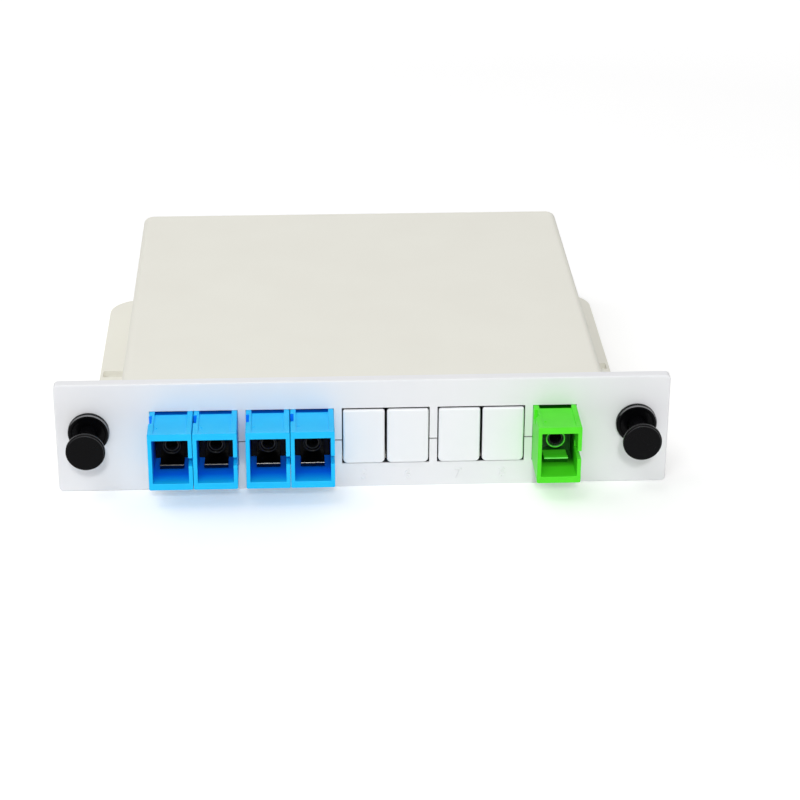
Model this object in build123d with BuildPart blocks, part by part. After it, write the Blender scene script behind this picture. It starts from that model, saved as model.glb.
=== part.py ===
"""Plug-in splitter cassette: one fibre input split to four outputs.

Frame: origin in the middle of the underside, in the plane of the panel's rear face.
+X runs along the panel, +Y goes into the chassis, +Z is up. Sizes are in millimetres.
"""
import os
from math import pi

from build123d import *

os.makedirs("parts", exist_ok=True)

# Front panel, with an ear each side of the case
ear_width = 14.0
panel_height = 25.0
panel_thickness = 2.3
panel_corner = 1.0
panel_edge = 0.35

# Case behind the panel, wider than the row of ports by a margin each side
side_margin = 5.805
body_depth = 97.7
roof_step = 0.3
wall = 1.8
roof = 2.0
rear_corner = 2.5
roof_edge = 1.5

# Side rails
rail_reach = 9.0
rail_thickness = 1.9
rail_corner = 8.0
rail_slot_start = 51.5
rail_slot_length = 3.3
rail_slot_rim = 0.7

# Bottom cover
cover_thickness = 1.95
cover_ledge = 0.95
cover_corner = 2.0
cover_gap = 0.15
cover_slot_start = 11.0
cover_slot_length = 11.0
cover_slot_width = 1.5
cover_slot_inset = 0.7

# Port openings
output_count = 8
live_outputs = 4
cell_width = 9.31
cell_height = 13.07
web_width = 1.65
port_drop = 0.43
parting_drop = 0.8
parting_gap = 0.28

# Ridge behind the panel on each adapter and plug, and the keepers that hold it
ridge_thickness = 1.9
ridge_rise = 0.9
keeper_thickness = 1.5
keeper_gap = 0.12
seat_gap = 0.05

# Adapter housing
adapter_side_gap = 0.055
adapter_top_gap = 0.06
adapter_front = 11.0
adapter_rear = 14.7
adapter_corner = 0.3
adapter_side = 0.85
adapter_floor = 1.5
key_width = 1.8
key_length = 6.0
field_margin = 1.2
field_depth = 0.35
field_rim = 0.9
side_notch_start = 2.0
side_notch_length = 3.6
side_notch_depth = 0.5
side_notch_height = 0.8

# Latch arms and sleeve tube inside the adapter
holder_plate = 2.0
holder_gap = 0.05
arm_width = 5.05
arm_thickness = 0.8
arm_outer_gap = 0.375
arm_length = 6.5
hook_length = 1.2
hook_flat = 0.5
hook_rise = 0.5
sleeve_length = 11.4
sleeve_radius = 1.6
sleeve_bore = 1.26
sleeve_slit = 0.4
sleeve_gap = 0.03
tube_radius = 2.05
tube_lip = 0.5
tube_lip_bore = 1.5

# Pigtail plug, ferrule and boot
plug_side_gap = 0.1
plug_top_gap = 0.525
plug_length = 18.0
plug_corner = 0.4
plug_gap = 0.2
ferrule_radius = 1.25
ferrule_length = 10.3
ferrule_tip = 0.3
ferrule_flange_radius = 2.0
ferrule_flange_length = 2.4
boot_collar_radius = 3.0
boot_collar_length = 2.5
boot_tip_radius = 1.5
boot_length = 22.0

# Tubed fibres
fibre_diameter = 0.9
bore_gap = 0.05
lane_pitch = 1.1
fibre_lead = 2.0
input_turn = 7.275
first_turn = 8.025
turn_gap = 0.5
loop_gap = 3.0

# Splitter chip module and what carries it
module_width = 7.0
module_height = 4.0
module_length = 50.0
module_edge = 0.5
module_hole_depth = 4.0
saddle_length = 3.0
saddle_cheek = 1.2
saddle_rise = 1.0
saddle_inset = 9.0
drum_wall = 1.3
drum_rise = 2.0
drum_gap = 0.25

# Cover screws
screw_side_inset = 1.6
screw_end_inset = 5.5
screw_radius = 1.05
screw_length = 8.0
screw_point = 1.2
screw_head_radius = 1.9
screw_head_height = 1.1
screw_sink = 0.1
recess_width = 0.55
recess_span = 2.2
recess_depth = 0.7
post_radius = 2.3
screw_gap = 0.05
head_gap = 0.12

# Blanking plugs
blank_side_gap = 0.25
blank_top_gap = 0.2
blank_proud = 0.7
blank_skirt = 4.0
blank_wall = 1.0
blank_face = 1.2
blank_edge = 0.4
blank_top_corner = 0.5
blank_bottom_corner = 1.0

# Push latches
latch_rise = 1.8
latch_hole_gap = 0.1
grommet_radius = 3.2
flange_radius = 4.35
flange_thickness = 1.5
flange_edge = 0.35
leg_radius = 3.0
leg_length = 4.6
leg_tip_radius = 2.4
leg_tip_length = 1.8
leg_slit = 0.9
leg_root = 1.0
plunger_radius = 1.96
plunger_gap = 0.04
plunger_head_radius = 4.1
plunger_head_thickness = 1.15
plunger_head_edge = 0.3
plunger_travel = 7.8
plunger_stop_gap = 0.05
plunger_past_legs = 0.8
plunger_tip = 0.4
groove_depth = 0.12
groove_length = 1.0
groove_inset = 1.2

# Worked out from the sizes above
row_width = (output_count + 1) * cell_width + output_count // 2 * web_width
body_width = row_width + 2 * side_margin
panel_width = body_width + 2 * ear_width
latch_x = (body_width + ear_width) / 2
port_height = panel_height / 2 - port_drop
latch_z = panel_height / 2 + latch_rise
opening_bottom = port_height - cell_height / 2
opening_top = port_height + cell_height / 2
parting_height = port_height - parting_drop
body_top = panel_height - roof_step
cavity_top = body_top - roof
cavity_rear = body_depth - wall
cavity_half = body_width / 2 - wall
rail_half = body_width / 2 + rail_reach
cover_half = cavity_half + cover_ledge
screw_x = cavity_half - screw_side_inset
cover_rear = cavity_rear + cover_ledge
keeper_front = ridge_thickness + 3 * seat_gap
adapter_width = cell_width - 2 * adapter_side_gap
adapter_height = cell_height - 2 * adapter_top_gap
ridge_width = adapter_width - 2 * field_margin
adapter_front_face = -panel_thickness - adapter_front
adapter_middle = (adapter_front_face + adapter_rear) / 2
adapter_half = adapter_rear - adapter_middle
mouth_width = adapter_width - 2 * adapter_side
mouth_height = adapter_height - 2 * adapter_floor
arm_inside = mouth_height / 2 - arm_outer_gap - arm_thickness
arm_tip = holder_plate + arm_length
tube_end = sleeve_length / 2 + sleeve_gap + tube_lip
holder_bore = sleeve_radius + sleeve_gap
ferrule_front = adapter_middle + sleeve_gap
ferrule_rear = ferrule_front + ferrule_length
plug_width = mouth_width - 2 * plug_side_gap
plug_height = mouth_height - 2 * plug_top_gap
plug_front = adapter_middle + holder_plate + plug_gap
plug_rear = plug_front + plug_length
boot_rear = plug_rear + boot_length
blank_width = cell_width - 2 * blank_side_gap
blank_height = cell_height - 2 * blank_top_gap
fibre_radius = fibre_diameter / 2
fibre_bore = fibre_radius + bore_gap
fibre_end = ferrule_rear + bore_gap
module_rear = cavity_rear - turn_gap - fibre_radius - input_turn - fibre_lead
module_front = module_rear - module_length
fibre_in_module = module_hole_depth - bore_gap
grommet_front = -panel_thickness - flange_thickness
grommet_rear = leg_length + leg_tip_length
grommet_bore = plunger_radius + plunger_gap
plunger_head_back = grommet_front - plunger_stop_gap - plunger_travel
plunger_head_front = plunger_head_back - plunger_head_thickness
plunger_end = grommet_rear + plunger_past_legs - plunger_travel


def section(y, x=0.0, z=0.0):
    """Plane across the depth at y that faces the front, with its origin at (x, z)."""
    return Plane(origin=(x, y, z), x_dir=(1, 0, 0), z_dir=(0, -1, 0))


def along(x, z, y=0.0, side=1):
    """Plane through a depth-wise axis: local x is depth towards side, local y is height."""
    return Plane(origin=(x, y, z), x_dir=(0, side, 0), z_dir=(side, 0, 0))


def depth_axis(x, z):
    """Axis that runs into the chassis through (x, z)."""
    return Axis((x, 0, z), (0, 1, 0))


def cell_x(index):
    """Middle of a port cell, counted from the left, where a web parts each two cells."""
    return -row_width / 2 + cell_width * (index + 0.5) + web_width * (index // 2)


input_x = cell_x(output_count)
live_ports = {str(i + 1): cell_x(i) for i in range(live_outputs)} | {"in": input_x}
blank_ports = {str(i + 1): cell_x(i) for i in range(live_outputs, output_count)}
pair_starts = range(0, output_count, 2)
pair_openings = [((cell_x(i) + cell_x(i + 1)) / 2, 2 * cell_width) for i in pair_starts]
openings = pair_openings + [(input_x, cell_width)]
webs = [(cell_x(i + 1) + cell_x(i + 2)) / 2 for i in pair_starts]
screw_depths = (screw_end_inset, cavity_rear - screw_end_inset)
screw_places = [(side * screw_x, y) for y in screw_depths for side in (-1, 1)]
latches = {"left": -latch_x, "right": latch_x}

# Fibre lanes: at the module, after the first turn, and the drums inside the turns
module_x = input_x - 2 * input_turn
module_lanes = [module_x + (i - (live_outputs - 1) / 2) * lane_pitch for i in range(live_outputs)]
turn_x = module_lanes[0] - first_turn
turn_y = module_front - fibre_lead
case_lanes = [2 * turn_x - x for x in module_lanes]
outer_loop = (case_lanes[0] - cell_x(0)) / 2
inner_loop = (case_lanes[-1] - cell_x(live_outputs - 1)) / 2
loop_start = cavity_rear - loop_gap - fibre_radius - outer_loop
drums = [
    (turn_x, turn_y, module_x - module_width / 2 - drum_gap - turn_x),
    (case_lanes[-1] - inner_loop, loop_start, inner_loop - fibre_radius - drum_gap),
]

# Upper case: panel, shell, rails, screw posts and upper keeper in one moulding
with BuildPart() as upper_case:
    with BuildSketch(Plane.XY):
        with Locations((0, body_depth / 2)):
            Rectangle(body_width, body_depth)
    extrude(amount=body_top)
    fillet(upper_case.edges().filter_by(Axis.Z).group_by(Axis.Y)[-1], rear_corner)
    fillet(upper_case.faces().sort_by(Axis.Z)[-1].edges().sort_by(Axis.Y)[1:], roof_edge)
    with BuildSketch(Plane.XY) as rail_outline:
        with Locations((0, body_depth / 2)):
            Rectangle(2 * rail_half, body_depth)
        fillet(rail_outline.vertices().group_by(Axis.Y)[-1], rail_corner)
    extrude(amount=rail_thickness)
    with BuildSketch(section(0)):
        with Locations((0, panel_height / 2)):
            RectangleRounded(panel_width, panel_height, panel_corner)
    extrude(amount=panel_thickness)
    fillet(upper_case.faces().sort_by(Axis.Y)[0].edges(), panel_edge)
    # Hollow inside, and the rebate that the cover sits in
    with BuildSketch(Plane.XY):
        with Locations((0, cavity_rear / 2)):
            Rectangle(2 * cavity_half, cavity_rear)
    extrude(amount=cavity_top, mode=Mode.SUBTRACT)
    with BuildSketch(Plane.XY) as rebate:
        with Locations((0, (cover_rear + cover_gap) / 2)):
            Rectangle(2 * (cover_half + cover_gap), cover_rear + cover_gap)
        fillet(rebate.vertices().group_by(Axis.Y)[-1], cover_corner + cover_gap)
    extrude(amount=cover_thickness + seat_gap, mode=Mode.SUBTRACT)
    # Port openings, and below them the notch that the cover's lip fills
    with BuildSketch(section(0)):
        with Locations((0, parting_height / 2)):
            Rectangle(row_width, parting_height)
        for x, width in openings:
            with Locations((x, port_height)):
                Rectangle(width, cell_height)
    extrude(amount=panel_thickness, mode=Mode.SUBTRACT)
    # Keeper behind the upper ridges
    keeper_height = cavity_top - opening_top - keeper_gap
    with BuildSketch(section(keeper_front)):
        with Locations((0, cavity_top - keeper_height / 2)):
            Rectangle(row_width, keeper_height)
    extrude(amount=-keeper_thickness)
    # Screw posts with their pilot holes
    with BuildSketch(Plane.XY.offset(cover_thickness + seat_gap)):
        with Locations(*screw_places):
            Circle(post_radius)
    extrude(amount=cavity_top - cover_thickness - seat_gap)
    with BuildSketch(Plane.XY.offset(cover_thickness + seat_gap)):
        with Locations(*screw_places):
            Circle(screw_radius + screw_gap)
    extrude(amount=screw_length, mode=Mode.SUBTRACT)
    # Latch holes in the ears, and the slot across each rail
    with BuildSketch(section(0)):
        with Locations(*[(x, latch_z) for x in latches.values()]):
            Circle(grommet_radius + latch_hole_gap)
    extrude(amount=panel_thickness, mode=Mode.SUBTRACT)
    slot_reach = rail_reach - rail_slot_rim
    slot_x = body_width / 2 + slot_reach / 2
    slot_y = rail_slot_start + rail_slot_length / 2
    with BuildSketch(Plane.XY):
        with Locations((-slot_x, slot_y), (slot_x, slot_y)):
            Rectangle(slot_reach, rail_slot_length)
    extrude(amount=rail_thickness, mode=Mode.SUBTRACT)
upper_case.part.label = "upper_case"
export_step(upper_case.part, "parts/upper_case.step")

# Bottom cover: floor, front lip, lower keeper, module saddles and fibre drums
with BuildPart() as bottom_cover:
    with BuildSketch(Plane.XY) as floor_outline:
        with Locations((0, cover_rear / 2)):
            Rectangle(2 * cover_half, cover_rear)
        fillet(floor_outline.vertices().group_by(Axis.Y)[-1], cover_corner)
    extrude(amount=cover_thickness)
    with BuildSketch(section(0)):
        with Locations((0, opening_bottom / 2)):
            Rectangle(row_width - 2 * cover_gap, opening_bottom)
        web_top = parting_height - parting_gap
        with Locations(*[(x, web_top / 2) for x in webs]):
            Rectangle(web_width, web_top)
    extrude(amount=panel_thickness)
    # Keeper behind the lower ridges
    keeper_top = opening_bottom - keeper_gap
    with BuildSketch(section(keeper_front)):
        with Locations((0, keeper_top / 2)):
            Rectangle(row_width, keeper_top)
    extrude(amount=-keeper_thickness)
    # Saddles that hold the splitter module at the height of the ports
    saddle_top = port_height + saddle_rise
    notch_bottom = port_height - module_height / 2
    for y in (module_front + saddle_inset, module_rear - saddle_inset):
        with BuildSketch(section(y)):
            with Locations((module_x, saddle_top / 2)):
                Rectangle(module_width + 2 * (bore_gap + saddle_cheek), saddle_top)
            with Locations((module_x, notch_bottom + module_height / 2)):
                Rectangle(module_width + 2 * bore_gap, module_height, mode=Mode.SUBTRACT)
        extrude(amount=saddle_length / 2, both=True)
    # Hollow drums that the fibres turn round
    for x, y, radius in drums:
        with BuildSketch(Plane.XY):
            with Locations((x, y)):
                Circle(radius)
        extrude(amount=port_height + drum_rise)
        with BuildSketch(Plane.XY.offset(cover_thickness)):
            with Locations((x, y)):
                Circle(radius - drum_wall)
        extrude(amount=port_height + drum_rise, mode=Mode.SUBTRACT)
    # Slots along the sides, and stepped screw holes
    edge_slot_x = cover_half - cover_slot_inset - cover_slot_width / 2
    edge_slot_y = cover_slot_start + cover_slot_length / 2
    with BuildSketch(Plane.XY):
        with Locations((-edge_slot_x, edge_slot_y), (edge_slot_x, edge_slot_y)):
            Rectangle(cover_slot_width, cover_slot_length)
        with Locations(*screw_places):
            Circle(screw_radius + head_gap)
    extrude(amount=cover_thickness, mode=Mode.SUBTRACT)
    with BuildSketch(Plane.XY):
        with Locations(*screw_places):
            Circle(screw_head_radius + head_gap)
    extrude(amount=screw_sink + screw_head_height, mode=Mode.SUBTRACT)
bottom_cover.part.label = "bottom_cover"
export_step(bottom_cover.part, "parts/bottom_cover.step")

# Cover screws, driven from below
head_top = screw_sink + screw_head_height
screw_end = head_top + screw_length
for number, (x, y) in enumerate(screw_places, start=1):
    with BuildPart() as cover_screw:
        with BuildSketch(Plane(origin=(x, y, 0), x_dir=(1, 0, 0), z_dir=(0, -1, 0))):
            with BuildLine():
                Polyline(
                    (0, screw_sink),
                    (screw_head_radius, screw_sink),
                    (screw_head_radius, head_top),
                    (screw_radius, head_top),
                    (screw_radius, screw_end - screw_point),
                    (0, screw_end),
                    close=True,
                )
            make_face()
        revolve(axis=Axis((x, y, 0), (0, 0, 1)))
        with BuildSketch(Plane.XY.offset(screw_sink)):
            with Locations((x, y)):
                Rectangle(recess_span, recess_width)
                Rectangle(recess_width, recess_span)
        extrude(amount=recess_depth, mode=Mode.SUBTRACT)
    cover_screw.part.label = f"cover_screw_{number}"
    export_step(cover_screw.part, f"parts/cover_screw_{number}.step")

# Blanking plugs in the unused ports
for port, x in blank_ports.items():
    with BuildPart() as blank:
        with BuildSketch(section(blank_skirt, x, port_height)) as outline:
            Rectangle(blank_width, blank_height)
            fillet(outline.vertices().group_by(Axis.Y)[-1], blank_top_corner)
            fillet(outline.vertices().group_by(Axis.Y)[0], blank_bottom_corner)
        extrude(amount=blank_skirt + panel_thickness + blank_proud)
        fillet(blank.faces().sort_by(Axis.Y)[0].edges(), blank_edge)
        with BuildSketch(section(blank_skirt, x, port_height)):
            Rectangle(blank_width - 2 * blank_wall, blank_height - 2 * blank_wall)
        pocket = blank_skirt + panel_thickness + blank_proud - blank_face
        extrude(amount=pocket, mode=Mode.SUBTRACT)
        with BuildSketch(section(seat_gap, x, port_height)):
            Rectangle(ridge_width, adapter_height + 2 * ridge_rise)
            Rectangle(ridge_width, blank_height - blank_wall, mode=Mode.SUBTRACT)
        extrude(amount=-ridge_thickness)
    blank.part.label = f"blank_{port}"
    export_step(blank.part, f"parts/blank_{port}.step")

# Live ports: adapter, its two latch holders and sleeve, and the pigtail's plug
for port, x in live_ports.items():
    # Housing: a rectangular tube, keyed at both ends, with a ridge behind the panel
    with BuildPart() as adapter:
        with BuildSketch(section(adapter_middle, x, port_height)):
            RectangleRounded(adapter_width, adapter_height, adapter_corner)
            Rectangle(mouth_width, mouth_height, mode=Mode.SUBTRACT)
        extrude(amount=adapter_half, both=True)
        with BuildSketch(section(seat_gap, x, port_height)):
            Rectangle(ridge_width, adapter_height + 2 * ridge_rise)
            Rectangle(ridge_width, adapter_height - adapter_floor, mode=Mode.SUBTRACT)
        extrude(amount=-ridge_thickness)
        key_x = x + mouth_width / 2
        for end, towards in ((adapter_front_face, Align.MIN), (adapter_rear, Align.MAX)):
            with Locations((key_x, end, port_height)):
                Box(2 * adapter_side, key_length, key_width,
                    align=(Align.MIN, towards, Align.CENTER), mode=Mode.SUBTRACT)
        field_length = adapter_front - field_rim
        field_y = adapter_front_face + field_rim
        for side in (-1, 1):
            with Locations((x, field_y, port_height + side * adapter_height / 2)):
                Box(ridge_width, field_length, 2 * field_depth,
                    align=(Align.CENTER, Align.MIN, Align.CENTER), mode=Mode.SUBTRACT)
        notch_y = -panel_thickness - side_notch_start
        with Locations((x - adapter_width / 2, notch_y, port_height + adapter_height / 2)):
            Box(2 * side_notch_depth, side_notch_length, 2 * side_notch_height,
                align=(Align.CENTER, Align.MAX, Align.CENTER), mode=Mode.SUBTRACT)
    adapter.part.label = f"adapter_{port}"
    export_step(adapter.part, f"parts/adapter_{port}.step")

    # Latch holders, one facing each way: plate, two hooked arms and the sleeve's tube
    for name, side in (("front_holder", -1), ("rear_holder", 1)):
        with BuildPart() as holder:
            middle = along(x, port_height, adapter_middle, side)
            with BuildSketch(middle):
                with Locations((holder_plate / 2, 0)):
                    Rectangle(holder_plate, mouth_height - 2 * holder_gap)
            extrude(amount=mouth_width / 2 - holder_gap, both=True)
            with BuildSketch(middle):
                for up in (-1, 1):
                    with BuildLine():
                        Polyline(
                            (0, up * arm_inside),
                            (arm_tip - hook_length, up * arm_inside),
                            (arm_tip - hook_length, up * (arm_inside - hook_rise)),
                            (arm_tip - hook_flat, up * (arm_inside - hook_rise)),
                            (arm_tip, up * arm_inside),
                            (arm_tip, up * (arm_inside + arm_thickness)),
                            (0, up * (arm_inside + arm_thickness)),
                            close=True,
                        )
                    make_face()
            extrude(amount=arm_width / 2, both=True)
            with BuildSketch(section(adapter_middle, x, port_height)):
                Circle(tube_radius)
            extrude(amount=-side * tube_end)
            with BuildSketch(section(adapter_middle, x, port_height)):
                Circle(holder_bore)
            extrude(amount=-side * (tube_end - tube_lip), mode=Mode.SUBTRACT)
            with BuildSketch(section(adapter_middle, x, port_height)):
                Circle(tube_lip_bore)
            extrude(amount=-side * tube_end, mode=Mode.SUBTRACT)
        holder.part.label = f"{name}_{port}"
        export_step(holder.part, f"parts/{name}_{port}.step")

    # Split sleeve that lines up two ferrules
    with BuildPart() as sleeve:
        with BuildSketch(section(adapter_middle, x, port_height)):
            Circle(sleeve_radius)
            Circle(sleeve_bore, mode=Mode.SUBTRACT)
            with Locations((0, sleeve_radius)):
                Rectangle(sleeve_slit, 2 * (sleeve_radius - sleeve_bore) + sleeve_slit, mode=Mode.SUBTRACT)
        extrude(amount=sleeve_length / 2, both=True)
    sleeve.part.label = f"sleeve_{port}"
    export_step(sleeve.part, f"parts/sleeve_{port}.step")

    # Plug body, with channels and pockets for the rear holder's arms and hooks
    with BuildPart() as plug:
        with BuildSketch(section(plug_front, x, port_height)):
            RectangleRounded(plug_width, plug_height, plug_corner)
        extrude(amount=-plug_length)
        hook_start = adapter_middle + arm_tip - hook_length - plug_gap
        channel_end = adapter_middle + arm_tip + plug_gap
        channel_floor = arm_inside - plug_gap
        pocket_floor = channel_floor - hook_rise
        with BuildSketch(along(x, port_height)):
            for up in (-1, 1):
                with BuildLine():
                    Polyline(
                        (plug_front, up * channel_floor),
                        (hook_start, up * channel_floor),
                        (hook_start, up * pocket_floor),
                        (channel_end, up * pocket_floor),
                        (channel_end, up * plug_height),
                        (plug_front, up * plug_height),
                        close=True,
                    )
                make_face()
        extrude(amount=arm_width / 2 + plug_gap, both=True, mode=Mode.SUBTRACT)
        flange_front = ferrule_rear - ferrule_flange_length - bore_gap
        with BuildSketch(along(x, port_height)):
            with BuildLine():
                Polyline(
                    (plug_front, 0),
                    (plug_front, tube_radius + plug_gap),
                    (adapter_middle + tube_end + plug_gap, tube_radius + plug_gap),
                    (adapter_middle + tube_end + plug_gap, ferrule_radius + bore_gap),
                    (flange_front, ferrule_radius + bore_gap),
                    (flange_front, ferrule_flange_radius + bore_gap),
                    (fibre_end, ferrule_flange_radius + bore_gap),
                    (fibre_end, fibre_bore),
                    (plug_rear, fibre_bore),
                    (plug_rear, 0),
                    close=True,
                )
            make_face()
        revolve(axis=depth_axis(x, port_height), mode=Mode.SUBTRACT)
    plug.part.label = f"plug_{port}"
    export_step(plug.part, f"parts/plug_{port}.step")

    with BuildPart() as ferrule:
        with BuildSketch(along(x, port_height)):
            with BuildLine():
                Polyline(
                    (ferrule_front, 0),
                    (ferrule_front, ferrule_radius - ferrule_tip),
                    (ferrule_front + ferrule_tip, ferrule_radius),
                    (ferrule_rear - ferrule_flange_length, ferrule_radius),
                    (ferrule_rear - ferrule_flange_length, ferrule_flange_radius),
                    (ferrule_rear, ferrule_flange_radius),
                    (ferrule_rear, 0),
                    close=True,
                )
            make_face()
        revolve(axis=depth_axis(x, port_height))
    ferrule.part.label = f"ferrule_{port}"
    export_step(ferrule.part, f"parts/ferrule_{port}.step")

    # Strain relief behind the plug
    with BuildPart() as boot:
        with BuildSketch(along(x, port_height)):
            with BuildLine():
                Polyline(
                    (plug_rear, fibre_bore),
                    (plug_rear, boot_collar_radius),
                    (plug_rear + boot_collar_length, boot_collar_radius),
                    (boot_rear, boot_tip_radius),
                    (boot_rear, fibre_bore),
                    close=True,
                )
            make_face()
        revolve(axis=depth_axis(x, port_height))
    boot.part.label = f"boot_{port}"
    export_step(boot.part, f"parts/boot_{port}.step")

# Splitter chip in its slim steel tube, with a hole for each fibre
with BuildPart() as splitter_module:
    with BuildSketch(section(module_front, module_x, port_height)):
        RectangleRounded(module_width, module_height, module_edge)
    extrude(amount=-module_length)
    with BuildSketch(section(module_front, 0, port_height)):
        with Locations(*[(x, 0) for x in module_lanes]):
            Circle(fibre_bore)
    extrude(amount=-module_hole_depth, mode=Mode.SUBTRACT)
    with BuildSketch(section(module_rear, module_x, port_height)):
        Circle(fibre_bore)
    extrude(amount=module_hole_depth, mode=Mode.SUBTRACT)
splitter_module.part.label = "splitter_module"
export_step(splitter_module.part, "parts/splitter_module.step")

# Output fibres: out of the module, round the first drum, up the case and back to a plug
fibre_section = pi * fibre_radius**2
for i in range(live_outputs):
    start_x = module_lanes[i]
    lane_x = case_lanes[i]
    end_x = cell_x(i)
    middle_x = (lane_x + end_x) / 2
    with BuildPart() as fibre:
        with BuildLine(Plane.XY.offset(port_height)) as route:
            Line((start_x, module_front + fibre_in_module), (start_x, turn_y))
            CenterArc((turn_x, turn_y), start_x - turn_x, 0, -180)
            Line((lane_x, turn_y), (lane_x, loop_start))
            CenterArc((middle_x, loop_start), lane_x - middle_x, 0, 180)
            Line((end_x, loop_start), (end_x, fibre_end))
        with BuildSketch(section(module_front + fibre_in_module, start_x, port_height)):
            Circle(fibre_radius)
        sweep(path=route.line)
    length = sum(edge.length for edge in route.edges())
    print(f"fibre_{i + 1}", "turns", start_x - turn_x, lane_x - middle_x,
          "volume", fibre.part.volume, "section x length", fibre_section * length)
    fibre.part.label = f"fibre_{i + 1}"
    export_step(fibre.part, f"parts/fibre_{i + 1}.step")

# Input fibre: out of the module's rear end and round to the input plug
with BuildPart() as fibre_in:
    with BuildLine(Plane.XY.offset(port_height)) as route:
        Line((module_x, module_rear - fibre_in_module), (module_x, module_rear + fibre_lead))
        CenterArc((module_x + input_turn, module_rear + fibre_lead), input_turn, 180, -180)
        Line((input_x, module_rear + fibre_lead), (input_x, fibre_end))
    with BuildSketch(section(module_rear - fibre_in_module, module_x, port_height)):
        Circle(fibre_radius)
    sweep(path=route.line)
length = sum(edge.length for edge in route.edges())
print("fibre_in", "turn", input_turn, "volume", fibre_in.part.volume,
      "section x length", fibre_section * length)
fibre_in.part.label = "fibre_in"
export_step(fibre_in.part, "parts/fibre_in.step")

# Push latches in the ears: a slit grommet, and the plunger that spreads its legs
for side, x in latches.items():
    with BuildPart() as grommet:
        with BuildSketch(along(x, latch_z)):
            with BuildLine():
                Polyline(
                    (grommet_front, grommet_bore),
                    (grommet_front, flange_radius),
                    (-panel_thickness, flange_radius),
                    (-panel_thickness, grommet_radius),
                    (0, grommet_radius),
                    (0, leg_radius),
                    (leg_length, leg_radius),
                    (grommet_rear, leg_tip_radius),
                    (grommet_rear, grommet_bore),
                    close=True,
                )
            make_face()
        revolve(axis=depth_axis(x, latch_z))
        fillet(grommet.faces().sort_by(Axis.Y)[0].outer_wire().edges(), flange_edge)
        with Locations((x, leg_root, latch_z)):
            for turn in (0, 90):
                Box(leg_slit, grommet_rear, 4 * leg_radius, rotation=(0, turn, 0),
                    align=(Align.CENTER, Align.MIN, Align.CENTER), mode=Mode.SUBTRACT)
    grommet.part.label = f"latch_grommet_{side}"
    export_step(grommet.part, f"parts/latch_grommet_{side}.step")

    with BuildPart() as plunger:
        groove_end = plunger_end - groove_inset
        groove_start = groove_end - groove_length
        with BuildSketch(along(x, latch_z)):
            with BuildLine():
                Polyline(
                    (plunger_head_front, 0),
                    (plunger_head_front, plunger_head_radius),
                    (plunger_head_back, plunger_head_radius),
                    (plunger_head_back, plunger_radius),
                    (groove_start, plunger_radius),
                    (groove_start, plunger_radius - groove_depth),
                    (groove_end, plunger_radius - groove_depth),
                    (groove_end, plunger_radius),
                    (plunger_end - plunger_tip, plunger_radius),
                    (plunger_end, plunger_radius - plunger_tip),
                    (plunger_end, 0),
                    close=True,
                )
            make_face()
        revolve(axis=depth_axis(x, latch_z))
        fillet(plunger.faces().sort_by(Axis.Y)[0].edges(), plunger_head_edge)
    plunger.part.label = f"latch_plunger_{side}"
    export_step(plunger.part, f"parts/latch_plunger_{side}.step")
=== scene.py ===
"""Looks of a plug-in splitter cassette, one fibre in and four out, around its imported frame.

The white case, the screws, the pigtails and the chip module are the frame's own solids with
better materials. The adapters, their inner mouldings, the blanking plugs and the push latches
are meshes made here, which stand for their solids, and the port numbers are added. Sizes are
in millimetres up to the point where a mesh is made. +X runs along the panel, +Y goes into the
chassis and +Z is up.
"""
from __future__ import annotations

import logging
import math
from dataclasses import dataclass, replace
from enum import Enum
from typing import Any, Callable, Sequence

import bmesh
import bpy
from mathutils import Matrix, Vector

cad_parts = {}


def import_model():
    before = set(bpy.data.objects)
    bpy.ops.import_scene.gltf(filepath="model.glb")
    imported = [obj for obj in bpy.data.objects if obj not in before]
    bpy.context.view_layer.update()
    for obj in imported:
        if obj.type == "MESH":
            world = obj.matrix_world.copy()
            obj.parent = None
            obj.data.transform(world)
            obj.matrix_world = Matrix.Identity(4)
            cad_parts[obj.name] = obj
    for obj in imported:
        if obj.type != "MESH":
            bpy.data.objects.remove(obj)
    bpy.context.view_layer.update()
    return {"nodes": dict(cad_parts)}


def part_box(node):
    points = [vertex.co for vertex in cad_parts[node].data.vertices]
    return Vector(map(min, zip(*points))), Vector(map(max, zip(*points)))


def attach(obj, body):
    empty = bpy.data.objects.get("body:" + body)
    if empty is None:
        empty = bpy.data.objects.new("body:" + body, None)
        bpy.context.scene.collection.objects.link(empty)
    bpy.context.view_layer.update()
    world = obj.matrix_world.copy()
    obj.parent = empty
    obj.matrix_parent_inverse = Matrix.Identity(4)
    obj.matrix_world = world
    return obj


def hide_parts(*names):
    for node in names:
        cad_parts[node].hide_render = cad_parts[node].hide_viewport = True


LOG = logging.getLogger("cassette")
MM = 0.001
# Faces marked in this layer get their finish's accent, which is painted shade or a painted
# highlight.
ACCENT_LAYER = "accent"
WHITE = (1.0, 1.0, 1.0, 1.0)
# Edges that turn by less than this are shaded smooth and aren't rounded.
SOFT_ANGLE = math.radians(35)
# Points of a mesh that lie nearer to each other than this, in metres, are one point.
WELD = 2e-6
# How far a cut runs past what it cuts.
PAST = 1.0
# How far outside a shaded place the middle of a face may lie and still count as in it.
NEAR = 0.05
# Facets of a rounded edge, and of a block's rounded corner.
EDGE_STEPS = 2
CORNER_STEPS = 3
# The colour sockets of a Mix node.
MIX_A, MIX_B, MIX_OUT = 6, 7, 2

Pair = tuple[float, float]
Point = tuple[float, float, float]
Item = bpy.types.Object
Shape = bmesh.types.BMesh
Socket = bpy.types.NodeSocket
Tree = bpy.types.NodeTree


class Body(str, Enum):
    """Bodies of the frame that pieces ride on."""

    ROOT = "root"
    LEFT_PLUNGER = "left_plunger"
    RIGHT_PLUNGER = "right_plunger"


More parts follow.
